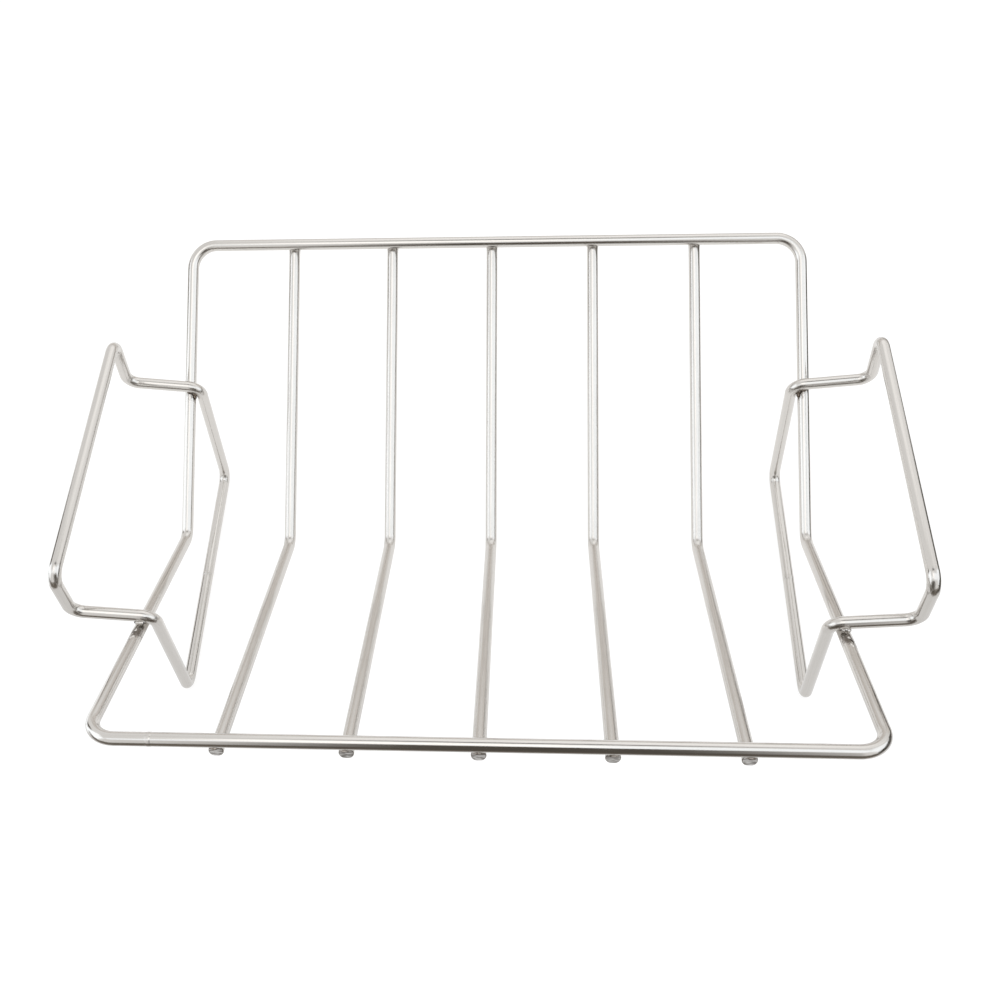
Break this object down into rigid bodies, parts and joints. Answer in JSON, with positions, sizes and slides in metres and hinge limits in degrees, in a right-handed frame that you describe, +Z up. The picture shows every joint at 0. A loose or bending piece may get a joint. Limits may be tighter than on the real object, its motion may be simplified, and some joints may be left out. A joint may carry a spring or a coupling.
{
  "type": "roasting rack",
  "caption": "Trough-shaped roasting rack of bent round wire: parallel ribs welded under a rectangular frame, and a loop at each end that is handle and foot in one.",
  "frame": {"origin": "on the ground under the middle of the rack: the middle of the underside of the bounding box", "axes": "+X from the left handle to the right handle, along the trough; +Y from the front rail to the back rail; +Z up, from the feet to the grips"},
  "size_m": [0.3988, 0.2896, 0.1326],
  "materials": {
    "frame_wire": "satin-polished stainless steel wire",
    "rib_wire": "satin-polished stainless steel wire",
    "handle_wire": "satin-polished stainless steel wire",
    "weld_metal": "weld metal, brushed but left darkened by heat"
  },
  "bodies": {
    "root": {"outer_frame": "frame_wire", "rib_1": "rib_wire", "rib_2": "rib_wire", "rib_3": "rib_wire", "rib_4": "rib_wire", "rib_5": "rib_wire", "left_handle": "handle_wire", "right_handle": "handle_wire"}
  },
  "joints": []
}
